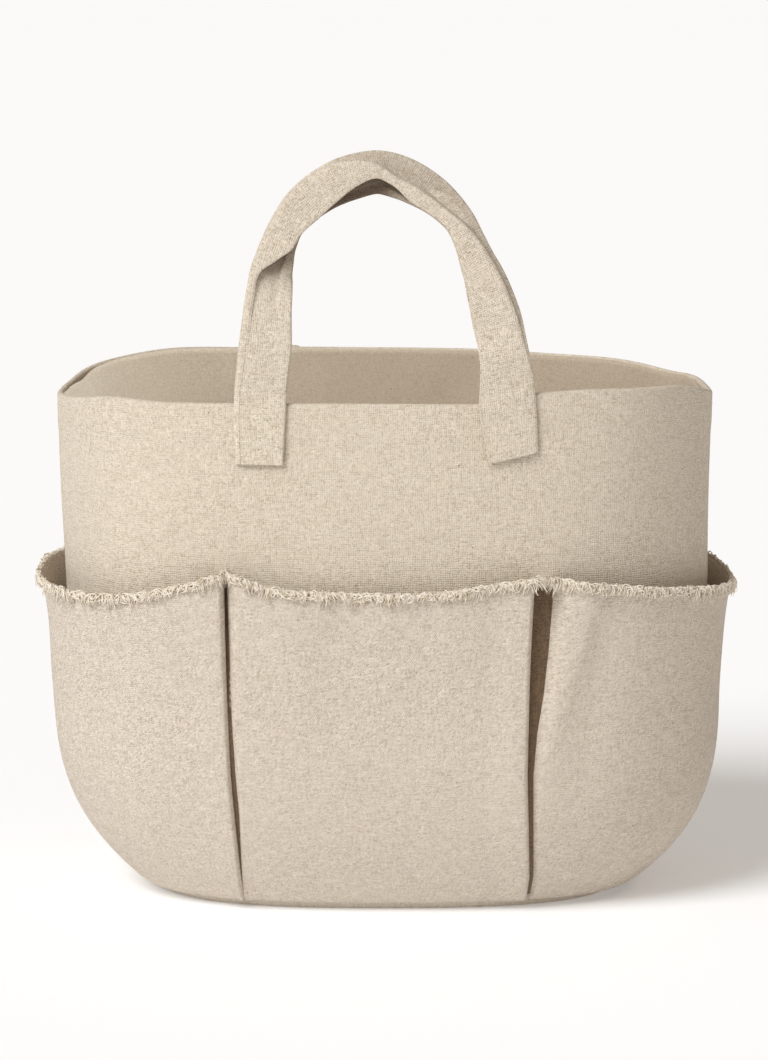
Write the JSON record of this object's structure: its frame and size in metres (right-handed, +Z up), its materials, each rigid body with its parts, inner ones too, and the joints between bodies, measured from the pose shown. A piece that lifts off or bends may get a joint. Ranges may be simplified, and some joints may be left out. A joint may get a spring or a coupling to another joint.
{
  "type": "fabric storage bin",
  "caption": "Soft oval canvas storage bin with a lining, a pleated band of raw-edged outside pockets, and strap handles that swing over the rim.",
  "frame": {"origin": "centre of the base's underside, where the bin rests on the floor", "axes": "+Z up, +X to the right as seen from the front, front panel towards -Y"},
  "size_m": [0.4272, 0.326, 0.461],
  "materials": {
    "canvas": "natural slubby linen and cotton canvas, undyed, with dark flecks",
    "pocket_canvas": "the same canvas, slightly greyer, with a frayed raw edge",
    "strap": "canvas folded and sewn into a flat strap",
    "lining": "finer plain weave, taupe",
    "thread": "natural sewing thread"
  },
  "bodies": {
    "bag": {"front_body_panel": "canvas", "back_body_panel": "canvas", "base_panel": "canvas", "rim_facing": "canvas", "front_lining": "lining", "back_lining": "lining", "base_lining": "lining", "front_pocket": "pocket_canvas", "back_pocket": "pocket_canvas", "left_pocket": "pocket_canvas", "right_pocket": "pocket_canvas", "front_left_pleat": "pocket_canvas", "front_right_pleat": "pocket_canvas", "back_left_pleat": "pocket_canvas", "back_right_pleat": "pocket_canvas", "front_left_tab": "strap", "front_right_tab": "strap", "back_left_tab": "strap", "back_right_tab": "strap", "rim_stitching": "thread", "handle_stitching": "thread", "pleat_stitching": "thread", "base_stitching": "thread"},
    "front_strap": {"front_handle": "strap"},
    "back_strap": {"back_handle": "strap"}
  },
  "joints": [
    {"name": "front_handle_swing", "type": "hinge", "parent": "bag", "child": "front_strap", "pos_m": [0, -0.144, 0.3172], "axis": [1, 0, 0], "range_deg": [-85, 170]},
    {"name": "back_handle_swing", "type": "hinge", "parent": "bag", "child": "back_strap", "pos_m": [0, 0.144, 0.3172], "axis": [1, 0, 0], "range_deg": [0, 255]}
  ]
}
